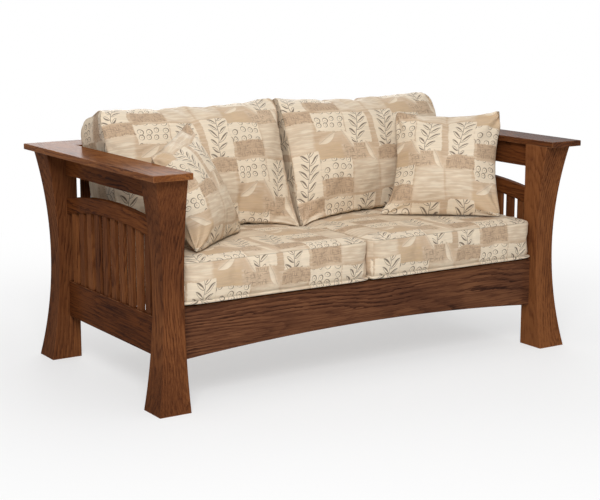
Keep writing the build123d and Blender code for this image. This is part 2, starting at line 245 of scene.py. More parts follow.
def new_group(name, inputs, outputs):
    """An empty shader group, and its input and output sockets. An input without a value is
    a vector and one with four numbers a colour; of the outputs only Color is a colour."""
    group = bpy.data.node_groups.new(name, "ShaderNodeTree")
    for label, value in inputs.items():
        kind = "Vector" if value is None else "Color" if isinstance(value, tuple) else "Float"
        socket = group.interface.new_socket(
            label, in_out="INPUT", socket_type="NodeSocket" + kind
        )
        if value is not None:
            socket.default_value = value
    for label in outputs:
        kind = "Color" if label == "Color" else "Float"
        group.interface.new_socket(label, in_out="OUTPUT", socket_type="NodeSocket" + kind)
    inside = group.nodes.new("NodeGroupInput").outputs
    outside = group.nodes.new("NodeGroupOutput").inputs
    return group, inside, outside


def total(tree, value, *others):
    """The sum of numbers or sockets."""
    for other in others:
        value = calc(tree, "ADD", value, other)
    return value


def product(tree, value, *others):
    """The product of numbers or sockets."""
    for other in others:
        value = calc(tree, "MULTIPLY", value, other)
    return value


def less(tree, value, other):
    """A value less another."""
    return calc(tree, "SUBTRACT", value, other)


def line(tree, value, slope, offset):
    """A value times a slope, plus an offset."""
    return calc(tree, "MULTIPLY_ADD", value, slope, offset)


def vector_calc(tree, operation, *values):
    """The vector output of one Vector Math node."""
    node = add_node(tree, "VectorMath", operation=operation)
    for socket, value in zip(node.inputs, values):
        plug(tree, socket, value)
    return node.outputs[0]


def split(tree, vector):
    """A vector's x, y and z."""
    return add_node(tree, "SeparateXYZ", {0: vector}).outputs


def join(tree, x, y, z=0.0):
    """The vector of x, y and z."""
    return add_node(tree, "CombineXYZ", {0: x, 1: y, 2: z}).outputs[0]


def chance(tree, number):
    """A value between 0 and 1 drawn for each whole number."""
    return add_node(
        tree, "TexWhiteNoise", {"W": number}, noise_dimensions="1D"
    ).outputs["Value"]


def noise(tree, vector, along, across, detail=2.0, warp=0.0):
    """Smooth noise between 0 and 1 on a vector scaled by one factor in x, along the grain,
    and another in y and z, across it."""
    scaled = vector_calc(tree, "MULTIPLY", vector, (along, across, across))
    return add_node(
        tree,
        "TexNoise",
        {"Vector": scaled, "Scale": 1.0, "Detail": detail, "Distortion": warp},
    ).outputs[0]


def mix_colour(tree, factor, first, second):
    """The first colour where the factor is 0, the second where it is 1."""
    node = add_node(tree, "Mix", data_type="RGBA")
    plug(tree, node.inputs[0], factor)
    plug(tree, node.inputs[6], first)
    plug(tree, node.inputs[7], second)
    return node.outputs[2]


def make_oak_group():
    """Flat-sawn oak. The growth rings are tubes round a pith that lies below the board and
    dips along it, so a face shows arches. Slow noise heaves the tubes and quicker noise,
    drawn out along the grain, frays them. Each ring starts with a dark band of open pores
    and fades; bands, streaks and pores take more stain."""
    group, given, out = new_group(
        "oak_grain",
        {
            "Vector": None,
            "Light": oak_light,
            "Medium": oak_medium,
            "Dark": oak_dark,
            "Ring Width": 0.011,
            "Pith Depth": 0.09,
            "Pith Dip": 0.035,
            "Pith Side": 0.0,
            "Figure": 1.0,
            "Board Pitch": one_board,
            "Board Start": -one_board / 2,
            "Seed": 0.0,
            "Stain": 0.0,
        },
        ("Color", "Roughness", "Height"),
    )
    x, y, z = split(group, given["Vector"])
    from_start = less(group, y, given["Board Start"])
    number = calc(group, "FLOOR", calc(group, "DIVIDE", from_start, given["Board Pitch"]))
    lot = chance(group, total(group, number, given["Seed"]))
    board = join(group, line(group, lot, board_shift, x), y, z)

    def warp(along, across, size, detail):
        """Noise from minus half a size to plus half a size, drawn out along the grain."""
        raw = noise(group, board, along, across, detail)
        return line(group, raw, size, -size / 2)

    side = total(group, y, given["Pith Side"], warp(*side_heave))
    dip = product(group, x, given["Pith Dip"])
    depth = total(group, z, given["Pith Depth"], total(group, dip, warp(*depth_heave)))
    square = total(group, product(group, side, side), product(group, depth, depth))
    rings = total(
        group,
        calc(group, "DIVIDE", calc(group, "SQRT", square), given["Ring Width"]),
        total(group, warp(*ring_heave), warp(*ring_fray)),
    )
    phase = calc(group, "FRACT", rings)
    band = product(group, ramp(group, phase, 0.70, 0.06), ramp(group, phase, 0.0, 0.09))
    year = chance(group, calc(group, "FLOOR", rings))
    patchy = ramp(group, noise(group, board, *bold_patches), 0.36, 0.62, 0.25, 1.0)
    bold = product(group, band, line(group, year, 0.7, 0.5))
    figure = product(group, bold, product(group, patchy, given["Figure"]))
    streak = ramp(group, noise(group, board, *streaks), 0.40, 0.66)
    pores = ramp(group, noise(group, board, *open_pores, 1.0), 0.54, 0.66)
    pores = product(group, pores, line(group, band, 0.75, 0.25))
    cloud = noise(group, board, *clouds, 3.0)
    drawn = line(group, lot, 0.3, -0.15)
    # The Stain input moves the whole board darker or paler; for some caps, rails and posts it
    # also carries painted light and painted shade.
    shade = total(
        group,
        line(group, figure, 0.62, 0.10),
        product(group, pores, 0.30),
        total(group, line(group, cloud, 0.9, -0.36), line(group, streak, 0.26, drawn)),
        given["Stain"],
    )
    colour = mix_colour(group, ramp(group, shade, 0.0, 0.5), given["Light"], given["Medium"])
    colour = mix_colour(group, ramp(group, shade, 0.4, 1.0), colour, given["Dark"])
    dull = line(group, cloud, 0.12, 0.33)
    dents = total(group, product(group, pores, 0.7), product(group, band, 0.3))
    plug(group, out["Color"], colour)
    plug(group, out["Roughness"], line(group, band, 0.10, dull))
    plug(group, out["Height"], less(group, 1.0, dents))
    return group


def make_edge_group():
    """Wear along the edges of a board's box: of the distances to its three pairs of faces,
    the second smallest is near 0 only at an edge, and noise breaks the line up."""
    group, given, out = new_group(
        "worn_edge", {"Vector": None, "Half": None, "Width": edge_width}, ("Mask",)
    )
    folded = vector_calc(group, "ABSOLUTE", given["Vector"])
    x, y, z = split(group, vector_calc(group, "SUBTRACT", given["Half"], folded))
    second = calc(
        group,
        "MAXIMUM",
        calc(group, "MINIMUM", x, y),
        calc(group, "MINIMUM", calc(group, "MAXIMUM", x, y), z),
    )
    rubbed = ramp(group, noise(group, given["Vector"], *rubbing, 3.0), 0.38, 0.66)
    plug(group, out["Mask"], product(group, ramp(group, second, given["Width"], 0.0), rubbed))
    return group


oak_group = make_oak_group()
edge_group = make_edge_group()


def finish_wood(name, grain, coat=lacquer_coat, worn=oak_worn, **values):
    """Gives a CAD node a wood finish with its grain along one axis of the settle."""
    low, high = map(np.array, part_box(name))
    finish, tree, shader = new_finish(name + "_wood")
    spot = add_node(tree, "TexCoord").outputs["Object"]
    moved = vector_calc(tree, "SUBTRACT", spot, tuple((low + high) / 2))
    board = add_node(tree, "Mapping", {"Vector": moved, "Rotation": axis_turns[grain]})
    edges = add_node(tree, "Group", node_tree=edge_group)
    plug_all(tree, edges, {"Vector": moved, "Half": tuple((high - low) / 2)})
    oak = add_node(tree, "Group", node_tree=oak_group)
    plug(tree, oak.inputs["Vector"], board.outputs[0])
    for label, value in values.items():
        plug(tree, oak.inputs[label.replace("_", " ").title()], value)
    wear = product(tree, edges.outputs["Mask"], edge_wear)
    relief = add_node(
        tree,
        "Bump",
        {"Height": oak.outputs["Height"], "Strength": 0.6, "Distance": pore_depth},
    )
    plug_all(
        tree,
        shader,
        {
            "Base Color": mix_colour(tree, wear, oak.outputs["Color"], worn),
            "Roughness": oak.outputs["Roughness"],
            "Normal": relief.outputs[0],
            "Specular IOR Level": oak_specular,
            "Coat Weight": coat,
            "Coat Roughness": lacquer_roughness,
        },
    )
    for slot in nodes[name].material_slots:
        slot.material = finish


for seed, (end, stain) in enumerate(post_stains_and_painted_light.items()):
    finish_wood(
        "post_" + end,
        "z",
        seed=3.0 + seed,
        stain=stain,
        figure=0.52,
        pith_depth=0.07,
        pith_dip=0.11,
        ring_width=0.0085,
    )


# Rails
# Flat-sawn oak boards with their grain along them: the deep arched rail under the seat shows
# the boldest arches of grain. They are stained and lacquered like the posts, and the left
# side's rails are darkened further as painted shade, the top one as the painted shadow under
# the arm.
brown_tones = {
    "light": (0.195, 0.082, 0.038, 1),
    "medium": (0.108, 0.0425, 0.0215, 1),
    "dark": (0.031, 0.0125, 0.0080, 1),
}
red_tones = {"light": (0.225, 0.076, 0.022, 1), "medium": (0.120, 0.037, 0.0115, 1)}
# Per-rail stain; the left side's rails are darker than the right side's as painted shade.
rail_stains_and_painted_shade = {
    "front_rail": ("x on edge", 0.06),
    "back_bottom_rail": ("x on edge", 0.0),
    "back_top_rail": ("x on edge", 0.0),
    "side_bottom_rail_left": ("y on edge", 0.30),
    "side_bottom_rail_right": ("y on edge", 0.12),
    "side_arched_rail_left": ("y on edge", 0.12),
    "side_arched_rail_right": ("y on edge", 0.04),
    "side_top_rail_left": ("y on edge", 0.24),
    "side_top_rail_right": ("y on edge", 0.16),
}
for seed, (rail, (grain, stain)) in enumerate(rail_stains_and_painted_shade.items()):
    lengthwise = grain == "x on edge"
    finish_wood(
        rail,
        grain,
        seed=11.0 + seed,
        stain=stain,
        figure=0.8 if lengthwise else 0.55,
        pith_depth=0.05,
        pith_dip=0.05,
        pith_side=-0.03,
        **(brown_tones if lengthwise else red_tones),
    )


# Caps
# Wide flat boards on the arms and along the back, 19 mm thick, with eased edges. They have
# the glossiest lacquer. The left one is painted paler as a painted reflection along its top,
# and the right one darker as painted shade.
cap_coat = 0.14
cap_tones = {"light": (0.250, 0.090, 0.026, 1), "medium": (0.140, 0.045, 0.014, 1)}
# Per-cap stain: the left cap's lower number is a painted reflection, the right cap's higher
# one painted shade.
cap_stains_and_painted_light = {
    "arm_cap_left": ("y", -0.14),
    "arm_cap_right": ("y", 0.24),
    "back_cap": ("x", 0.10),
}
for seed, (cap, (grain, stain)) in enumerate(cap_stains_and_painted_light.items()):
    finish_wood(
        cap, grain, seed=31.0 + seed, stain=stain, coat=cap_coat, figure=0.55, **cap_tones
    )


# Slats
# Thin upright strips, each ripped from another board, so each has its own grain and takes
# the stain a little lighter or darker.
side_slat_pitch = 0.05783
back_slat_pitch = 0.05775
for slats, grain, pitch in (
    ("side_slats_left", "z", side_slat_pitch),
    ("side_slats_right", "z", side_slat_pitch),
    ("back_slats", "z across x", back_slat_pitch),
):
    finish_wood(
        slats,
        grain,
        seed=41.0,
        board_pitch=pitch,
        board_start=-pitch / 2,
        stain=0.05,
        figure=0.6,
        pith_dip=0.08,
        ring_width=0.009,
    )


# Seat support
# Cleats, deck slats, stretcher and slips are planed hardwood that was left unstained,
# because the cushions hide them.
plain_tones = {
    "light": (0.52, 0.37, 0.22, 1),
    "medium": (0.44, 0.30, 0.175, 1),
    "dark": (0.30, 0.19, 0.10, 1),
}
deck_slat_pitch = 0.10367
strip_grains = {
    "front_cleat": "x",
    "back_cleat": "x",
    "deck_slats": "y",
    "centre_stretcher": "y",
    "cap_slips": "x",
}
for seed, (strip, grain) in enumerate(strip_grains.items()):
    pitch = deck_slat_pitch if strip == "deck_slats" else one_board
    finish_wood(
        strip,
        grain,
        seed=51.0 + seed,
        board_pitch=pitch,
        board_start=-pitch / 2,
        worn=plain_tones["light"],
        coat=0.0,
        **plain_tones,
    )


# Screws
# Countersunk wood screws with a dull zinc plating, through the cleats into the rails.
zinc_light = (0.62, 0.63, 0.62, 1)
zinc_dark = (0.42, 0.42, 0.40, 1)
zinc_roughness = (0.3, 0.5)
zinc, zinc_tree, zinc_shader = new_finish("zinc_plate")
zinc_cloud = add_node(zinc_tree, "TexNoise", {"Scale": 600.0, "Detail": 3.0}).outputs[0]
zinc_mix = add_node(zinc_tree, "ValToRGB", {"Fac": zinc_cloud})
zinc_mix.color_ramp.elements[0].color = zinc_dark
zinc_mix.color_ramp.elements[1].color = zinc_light
plug_all(
    zinc_tree,
    zinc_shader,
    {
        "Base Color": zinc_mix.outputs[0],
        "Roughness": spread(zinc_tree, zinc_cloud, *zinc_roughness),
        "Metallic": 0.9,
    },
)
for slot in nodes["cleat_screws"].material_slots:
    slot.material = zinc


# Seat cushions
# Two boxed foam cushions with a thin wrap, side by side on the deck. The cover is a top, a
# bottom that rolls up over the lower edge, and a boxing strip, sewn inside out.
seat_width = 0.6715
seat_depth = 0.730
seat_middle_x = 0.33725
seat_middle_y = -0.022
seat_foot = 0.3096
seat_lower_seam = 0.3215
seat_upper_seam = 0.4352
seat_crown = 0.0105
seat_drawn_in = 0.004
seat_corner = 0.012
seat_roll = 0.0165
seat_roll_span = 0.33
seat_roll_zone = 0.9
seat_top = 0.4462
cushion_reach_x = 0.3358
cover_step = 0.0115
seam_rows = (0, 0.003, 0.006, 0.0095, 0.013, 0.0165)
seam_depth = 0.0030
seam_reach = 0.004
ditch_width = 0.0022
pucker_height = 0.0006
pucker_reach = 0.016
pucker_lengths = (0.023, 0.037)
pucker_drift = 0.17
crease_height = 0.0018
crease_margin = 0.018
dip_depth = 0.020
dip_reach = 0.40
gap_dip_depth = 0.009
gap_dip_reach = 0.08
dip_front = -0.12
dip_run = 0.14
swell_frames = 20
cover_cloth = {
    "quality": 6,
    "mass": 0.25,
    "tension_stiffness": 18,
    "compression_stiffness": 18,
    "shear_stiffness": 6,
    "bending_stiffness": 0.6,
    "use_pressure": True,
    "uniform_pressure_force": 4.0,
}
sides = {"left": -1, "right": 1}


def cloth_places(length, step):
    """Places from -1 to 1 across a panel: rows close to both seams, then even steps."""
    near = seam_rows[-1] + step / 2
    inner = np.linspace(
        near - length / 2, length / 2 - near, round((length - 2 * near) / step) + 1
    )
    edge = np.array(seam_rows) - length / 2
    return np.concatenate([edge, inner, -edge[::-1]]) * 2 / length


def sewn_panels(width, height, thickness, step, boxed=True, over_top=False):
    """The panels of a cover, as grids on the faces of a block that runs from -1 to 1: front
    and rear, and for a boxed cover four strips between them. Panels share their seams'
    points. With over_top the front's pattern goes on over the top strip. Gives the block's
    points, the quads, and each corner's place on the cloth."""
    sizes = (width, height, thickness)
    places = [cloth_places(size, step) for size in sizes]
    points, quads, cloth = [], [], []
    count = 0
    for axis in (0, 1, 2) if boxed else (2,):
        first, second = (axis + 1) % 3, (axis + 2) % 3
        along, up = np.meshgrid(places[first], places[second])
        for side in (-1, 1):
            block = np.zeros(along.shape + (3,))
            block[..., first] = along
            block[..., second] = up
            block[..., axis] = side
            number = np.arange(along.size).reshape(along.shape) + count
            quad = np.stack(
                [number[:-1, :-1], number[:-1, 1:], number[1:, 1:], number[1:, :-1]], -1
            ).reshape(-1, 4)
            quads.append(quad[:, ::side])
            across = 0 if axis else 1
            upward = 1 if axis == 2 else 2
            rise = block[..., upward] * sizes[upward] / 2
            if over_top and axis == 1 and side == 1:
                rise = (height + thickness) / 2 - rise
            cloth.append(
                np.stack([block[..., across] * sizes[across] / 2, rise], -1).reshape(-1, 2)
            )
            points.append(block.reshape(-1, 3))
            count += along.size
    points, quads, cloth = map(np.concatenate, (points, quads, cloth))
    keys = np.round(points, 6)
    if not boxed:
        rim = np.abs(keys[:, :2]).max(axis=1) > 0.999999
        keys = np.where(rim[:, None] & (np.arange(3) == 2), 0.0, keys)
    _, first_of, joined = np.unique(keys, axis=0, return_index=True, return_inverse=True)
    return points[first_of], joined.reshape(-1)[quads], cloth[quads]


def new_piece(name, points, quads, cloth=None):
    """A smooth mesh object of these points and quads, with a cloth UV map in metres."""
    mesh = bpy.data.meshes.new(name)
    mesh.from_pydata(points.tolist(), [], quads.tolist())
    mesh.shade_smooth()
    if cloth is not None:
        layer = mesh.uv_layers.new(name="cloth")
        layer.data.foreach_set("uv", np.asarray(cloth, float).reshape(-1))
    piece = bpy.data.objects.new(name, mesh)
    scene.collection.objects.link(piece)
    return piece


def points_of(mesh):
    """A mesh's points as rows of x, y and z."""
    flat = np.empty(len(mesh.vertices) * 3)
    mesh.vertices.foreach_get("co", flat)
    return flat.reshape(-1, 3)


# The cover cloth is a jacquard in a patchwork figure: cream, tan and gold-beige squares, some
# with leaf sprigs, seed heads or hatching in a taupe thread, on a ground with fine slubs.
cloth_tan = (0.525, 0.376, 0.250, 1)
cloth_beige = (0.585, 0.434, 0.298, 1)
cloth_gold = (0.565, 0.404, 0.250, 1)
cloth_cream = (0.755, 0.636, 0.484, 1)
cloth_pale = (0.715, 0.602, 0.456, 1)
cloth_taupe = (0.105, 0.070, 0.050, 1)
sheen_weight = 0.10
sheen_tint = (1.0, 0.86, 0.68, 1)
sheen_roughness = 0.4
cloth_specular = 0.22
ditch_shade = 0.40
thread_pitch = 0.0011
thread_height = 0.0004
crumple_height = 20.0
# Waves across and up the cloth per metre.
slubs = (14, 260)
cloth_clouds = (9, 16)
brush_strokes = (16, 110)
crumples = (13, 24)
hatch_strokes = ((45, 420), (420, 45))
ragged_edge = (130, 130)
repeat_across = 0.340
repeat_up = 0.300
patch_drift = 0.03
patch_rag = 0.010
patch_softness = 0.0016
streak_softness = 0.007
patches = [
    ("streak", cloth_pale, (0.284, 0.058), (0.055, 0.056)),
    ("streak", cloth_pale, (0.052, 0.206), (0.046, 0.048)),
    ("streak", cloth_gold, (0.146, 0.150), (0.050, 0.030)),
    ("hatch", cloth_tan, (0.170, 0.030), (0.056, 0.028)),
    ("hatch", cloth_beige, (0.250, 0.142), (0.044, 0.026)),
    ("hatch", cloth_tan, (0.060, 0.277), (0.052, 0.021)),
    ("seeds", cloth_cream, (0.164, 0.090), (0.060, 0.033)),
    ("sprig", cloth_cream, (0.056, 0.078), (0.047, 0.074)),
    ("sprig", cloth_cream, (0.276, 0.232), (0.046, 0.060)),
    ("seeds", cloth_cream, (0.168, 0.256), (0.058, 0.036)),
]
motif_strengths = {"sprig": 0.85, "seeds": 0.88, "hatch": 0.48}
sprig_bend = 0.012
sprig_bend_pace = 24.0
leaf_slope = 0.85
leaf_stagger = 0.0068
leaf_half_width = 0.0066
leaf_stalk = 0.002
broad_leaves = [((0.146, 0.196), 32), ((0.316, 0.140), -64), ((0.226, 0.190), 118)]
broad_leaf_half_length = 0.042
broad_leaf_half_width = 0.017


def make_patch_group():
    """A patch with slightly ragged edges: a mask from the larger of the distances past its
    sides. Vector is the place from its centre."""
    group, given, out = new_group(
        "cloth_patch", {"Vector": None, "Half": None, "Softness": patch_softness}, ("Mask",)
    )
    folded = vector_calc(group, "ABSOLUTE", given["Vector"])
    x, y, _ = split(group, vector_calc(group, "SUBTRACT", folded, given["Half"]))
    rag = less(group, noise(group, given["Vector"], *ragged_edge, 3.0), 0.5)
    past = line(group, rag, patch_rag, calc(group, "MAXIMUM", x, y))
    inside = product(group, given["Softness"], -1.0)
    plug(group, out["Mask"], ramp(group, past, given["Softness"], inside))
    return group


def leaf_blade(tree, reach, off, half_width):
    """A leaf between two parabolas: how far inside its edge a place is, from its reach along
    the leaf, -1 to 1, and its distance off the rib."""
    bow = less(tree, 1.0, product(tree, reach, reach))
    return less(tree, product(tree, bow, half_width), calc(tree, "ABSOLUTE", off))


def make_sprig_group():
    """A bent stem with leaves on both sides in turn. The plane is folded at the stem, slid
    so that a leaf's slope becomes level, and repeated, so one leaf draws them all. Each is
    inked on one half and outlined on the other."""
    group, given, out = new_group(
        "leaf_sprig", {"Vector": None, "Length": 0.036, "Spacing": 0.027}, ("Ink",)
    )
    x, y, _ = split(group, given["Vector"])
    bend = product(group, calc(group, "SINE", product(group, y, sprig_bend_pace)), sprig_bend)
    x = less(group, x, bend)
    away = calc(group, "ABSOLUTE", x)
    side = calc(group, "SIGN", x)
    level = less(group, y, product(group, away, leaf_slope))
    slid = total(group, level, product(group, side, leaf_stagger))
    turn = calc(group, "DIVIDE", slid, given["Spacing"])
    lot = chance(group, total(group, calc(group, "FLOOR", turn), product(group, side, 7)))
    within = less(group, calc(group, "FRACT", turn), 0.5)
    within = product(group, within, given["Spacing"])
    half = product(group, given["Length"], line(group, lot, 0.22, 0.27))
    from_middle = less(group, away, total(group, half, leaf_stalk))
    reach = calc(group, "DIVIDE", from_middle, half)
    blade = leaf_blade(group, reach, within, leaf_half_width)
    lit = product(group, within, calc(group, "SIGN", less(group, lot, 0.4)))
    filled = product(group, ramp(group, blade, 0.0, 0.0006), ramp(group, lit, 0.0004, 0.0012))
    outline = ramp(group, calc(group, "ABSOLUTE", blade), 0.0013, 0.0007)
    stem = ramp(group, away, 0.0012, 0.0006)
    leaf = calc(group, "MAXIMUM", filled, outline)
    plug(group, out["Ink"], calc(group, "MAXIMUM", leaf, stem))
    return group


def make_seed_group():
    """Round seed heads in a loose lattice: a ring that is thicker on one side, from a circle
    less a smaller one set off its centre, with a dot in it."""
    group, given, out = new_group("seed_heads", {"Vector": None, "Pitch": 0.029}, ("Ink",))
    pitch = join(group, given["Pitch"], given["Pitch"], 1.0)
    scaled = vector_calc(group, "DIVIDE", given["Vector"], pitch)
    cell = add_node(
        group,
        "TexVoronoi",
        {"Vector": scaled, "Scale": 1.0, "Randomness": 0.45},
        voronoi_dimensions="2D",
    ).outputs
    offset = vector_calc(group, "SUBTRACT", scaled, cell["Position"])
    inner = length_of(group, vector_calc(group, "ADD", offset, (0.03, 0.02, 0)))
    size = line(group, split(group, cell["Color"])[0], 0.12, 0.24)
    hole_size = less(group, size, 0.065)
    outer = ramp(group, less(group, cell["Distance"], size), 0.03, 0.0)
    hole = ramp(group, less(group, inner, hole_size), 0.0, 0.03)
    dot = product(group, ramp(group, cell["Distance"], 0.075, 0.045), 0.7)
    plug(group, out["Ink"], calc(group, "MAXIMUM", product(group, outer, hole), dot))
    return group


def make_hatch_group():
    """Short strokes both ways: two noises, each drawn out along one direction and cut at a
    level, so that strokes start and stop."""
    group, given, out = new_group("hatching", {"Vector": None}, ("Ink",))
    strokes = [
        ramp(group, noise(group, given["Vector"], along, across, 1.0), 0.56, 0.66)
        for along, across in hatch_strokes
    ]
    plug(group, out["Ink"], calc(group, "MAXIMUM", *strokes))
    return group


def make_cloth_group():
    """The patchwork: the plane is cut into repeats, each column dropped by half a repeat,
    and the patches, their motifs and the broad leaves are laid on the ground one by one."""
    patch_group = make_patch_group()
    motif_groups = {
        "sprig": make_sprig_group(),
        "seeds": make_seed_group(),
        "hatch": make_hatch_group(),
    }
    group, given, out = new_group(
        "patchwork_cloth", {"Vector": None}, ("Color", "Roughness", "Height")
    )
    spot = given["Vector"]
    drift = add_node(group, "TexNoise", {"Vector": spot, "Scale": 9.0, "Detail": 2.0})
    drift = vector_calc(group, "SUBTRACT", drift.outputs["Color"], (0.5, 0.5, 0.5))
    drift = vector_calc(group, "MULTIPLY", drift, (patch_drift, patch_drift, 0))
    u, v, _ = split(group, vector_calc(group, "ADD", spot, drift))
    column = calc(group, "FLOOR", calc(group, "DIVIDE", u, repeat_across))
    dropped = line(group, column, repeat_up / 2, v)
    row = calc(group, "FLOOR", calc(group, "DIVIDE", dropped, repeat_up))
    place = join(
        group,
        line(group, column, -repeat_across, u),
        line(group, row, -repeat_up, dropped),
    )
    slub = noise(group, spot, *slubs, 3.0)
    cloud = noise(group, spot, *cloth_clouds)
    brush = ramp(group, noise(group, spot, *brush_strokes), 0.42, 0.68)
    colour = mix_colour(group, ramp(group, cloud, 0.35, 0.65), cloth_tan, cloth_beige)
    colour = mix_colour(group, product(group, brush, 0.42), colour, cloth_pale)
    raised = satin = 0.0
    for kind, tone, centre, half in patches:
        streaked = kind == "streak"
        softness = streak_softness if streaked else patch_softness
        local = vector_calc(group, "SUBTRACT", place, centre + (0,))
        patch = add_node(group, "Group", node_tree=patch_group)
        plug_all(group, patch, {"Vector": local, "Half": half + (1,), "Softness": softness})
        mask = ground = patch.outputs["Mask"]
        if streaked:
            ground = product(group, mask, line(group, brush, 0.55, 0.45))
        if tone in (cloth_pale, cloth_cream):
            satin = calc(group, "MAXIMUM", satin, ground)
        colour = mix_colour(group, ground, colour, tone)
        if kind in motif_groups:
            motif = add_node(group, "Group", node_tree=motif_groups[kind])
            plug(group, motif.inputs["Vector"], local if kind == "sprig" else place)
            ink = product(group, motif.outputs["Ink"], mask, motif_strengths[kind])
            colour = mix_colour(group, ink, colour, cloth_taupe)
            raised = calc(group, "MAXIMUM", raised, ink)
    for centre, turn in broad_leaves:
        turned = add_node(
            group,
            "Mapping",
            {
                "Vector": place,
                "Location": centre + (0,),
                "Rotation": (0, 0, math.radians(turn)),
            },
            vector_type="TEXTURE",
        ).outputs[0]
        x, y, _ = split(group, turned)
        reach = calc(group, "DIVIDE", x, broad_leaf_half_length)
        blade = leaf_blade(group, reach, y, broad_leaf_half_width)
        tone = mix_colour(group, ramp(group, y, -0.012, 0.012), cloth_cream, cloth_beige)
        colour = mix_colour(group, ramp(group, blade, 0.0, 0.0012), colour, tone)
        rib = ramp(group, calc(group, "ABSOLUTE", y), 0.0009, 0.0004)
        rib = product(group, rib, ramp(group, blade, 0.0, 0.002), 0.35)
        colour = mix_colour(group, rib, colour, cloth_taupe)
    tone = total(group, line(group, slub, 0.36, 0.82), line(group, cloud, 0.16, -0.08))
    colour = vector_calc(group, "MULTIPLY", colour, join(group, tone, tone, tone))
    u, v, _ = split(group, spot)
    warp = calc(group, "SINE", product(group, u, 2 * math.pi / thread_pitch))
    weft = calc(group, "SINE", product(group, v, 2 * math.pi / thread_pitch))
    woven = total(group, product(group, warp, weft, 0.35), product(group, slub, 0.6), raised)
    crumple = noise(group, spot, *crumples, warp=0.8)
    dull = line(group, slub, 0.2, 0.52)
    dull = line(group, raised, 0.14, dull)
    plug(group, out["Color"], colour)
    plug(group, out["Roughness"], line(group, satin, -0.16, dull))
    plug(group, out["Height"], line(group, crumple, crumple_height, woven))
    return group


fabric, fabric_tree, fabric_shader = new_finish("patchwork_fabric")
cloth_figure = add_node(fabric_tree, "Group", node_tree=make_cloth_group())
cloth_map = add_node(fabric_tree, "UVMap", uv_map="cloth").outputs[0]
plug(fabric_tree, cloth_figure.inputs["Vector"], cloth_map)
cloth_relief = add_node(
    fabric_tree,
    "Bump",
    {"Height": cloth_figure.outputs["Height"], "Strength": 0.5, "Distance": thread_height},
)
ditch = add_node(fabric_tree, "Attribute", attribute_name="ditch").outputs["Fac"]
shade = line(fabric_tree, ditch, -ditch_shade, 1.0)
shade = join(fabric_tree, shade, shade, shade)
plug_all(
    fabric_tree,
    fabric_shader,
    {
        "Base Color": vector_calc(
            fabric_tree, "MULTIPLY", cloth_figure.outputs["Color"], shade
        ),
        "Roughness": cloth_figure.outputs["Roughness"],
        "Normal": cloth_relief.outputs[0],
        "Sheen Weight": sheen_weight,
        "Sheen Roughness": sheen_roughness,
        "Sheen Tint": sheen_tint,
        "Specular IOR Level": cloth_specular,
    },
)


def finish_cushion(kind, side, points, quads, cloth, distance):
    """Makes a stuffed piece of its blown-up cover, gives it the cloth and a last subdivision,
    and ties it to its body. Its ditch attribute says how deep in the ditch of a seam each
    point lies, from 1 on the stitches to 0."""
    piece = new_piece(f"{kind}_{side}_cover", points, quads, cloth)
    mark = piece.data.attributes.new("ditch", "FLOAT", "POINT")
    mark.data.foreach_set("value", np.exp(-((distance / ditch_width) ** 2)))
    piece.data.materials.append(fabric)
    smooth = piece.modifiers.new("smooth", "SUBSURF")
    smooth.levels = smooth.render_levels = 1
    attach(piece, f"{side}_{kind}")
    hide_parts(f"{kind}_{side}")


def swell(points, quads, held, slack, reach):
    """Blows a sewn cover up as cloth without weight. held says from 0 to 1 how firmly each
    point stays, slack how much longer the cloth is than its starting shape, and reach how
    far a point may move."""
    bag = new_piece("swelling_cover", points, quads)
    pins = bag.vertex_groups.new(name="held")
    levels = np.round(held, 1)
    for level in np.unique(levels[levels > 0]):
        pins.add(np.flatnonzero(levels == level).tolist(), float(level), "REPLACE")
    cloth = bag.modifiers.new("cloth", "CLOTH")
    for name, value in cover_cloth.items():
        setattr(cloth.settings, name, value)
    cloth.settings.vertex_group_mass = pins.name
    cloth.settings.shrink_min = -slack
    cloth.settings.effector_weights.gravity = 0
    cloth.collision_settings.use_collision = False
    cloth.point_cache.frame_end = swell_frames
    for number in range(1, swell_frames + 1):
        scene.frame_set(number)
    blown = bag.evaluated_get(bpy.context.evaluated_depsgraph_get()).to_mesh()
    moved = points_of(blown) - points
    bpy.data.objects.remove(bag)
    scene.frame_set(1)
    length = np.linalg.norm(moved, axis=1, keepdims=True)
    return points + moved * np.minimum(1, reach / np.maximum(length, 1e-9))


def outward(points, quads):
    """Each point's unit normal: the sum of its quads' crossed diagonals."""
    corners = points[quads]
    facing = np.cross(corners[:, 2] - corners[:, 0], corners[:, 3] - corners[:, 1])
    normals = np.zeros_like(points)
    for corner in range(4):
        np.add.at(normals, quads[:, corner], facing)
    return normals / np.maximum(np.linalg.norm(normals, axis=1, keepdims=True), 1e-12)


def tuck_seams(points, quads, distance, along, start, folds):
    """Draws the cover in to a groove at its seams, and gives it small puckers there: uneven
    waves along the seam that die out a finger's width from it. Larger folds are added."""
    groove = seam_depth * np.exp(-((distance / seam_reach) ** 2))
    turns = 2 * np.pi * along
    drift = 1.6 * np.sin(turns / pucker_drift + start)
    waves = np.sin(turns / pucker_lengths[0] + drift)
    waves += 0.6 * np.sin(turns / pucker_lengths[1] + 3 * start)
    fading = np.exp(-((distance / pucker_reach) ** 2)) * (distance > 0)
    rise = pucker_height * waves * fading - groove + folds
    return points + rise[:, None] * outward(points, quads)


def crown_over(a, b, fullness):
    """A dome over a panel: 0 along its seams and 1 in its middle. A higher fullness makes
    it rise sooner from the seams."""
    return (1 - np.abs(a) ** fullness) * (1 - np.abs(b) ** fullness)


def unevenness(a, b, start):
    """A smooth uneven field between about -1 and 1, from four crossing waves."""
    field = 0
    for turn, pace in ((0.3, 3.1), (1.4, 4.3), (2.3, 5.9), (2.9, 7.7)):
        wave = a * np.cos(turn + start) + b * np.sin(turn + start)
        field = field + np.sin(pace * wave + 5 * start + 7 * turn) / 4
    return field


def wrinkles(a, b, distance, start):
    """Shallow creases of a few centimetres that fade out towards the seams."""
    return unevenness(a, b, start) * (1 - np.exp(-((distance / crease_margin) ** 2)))


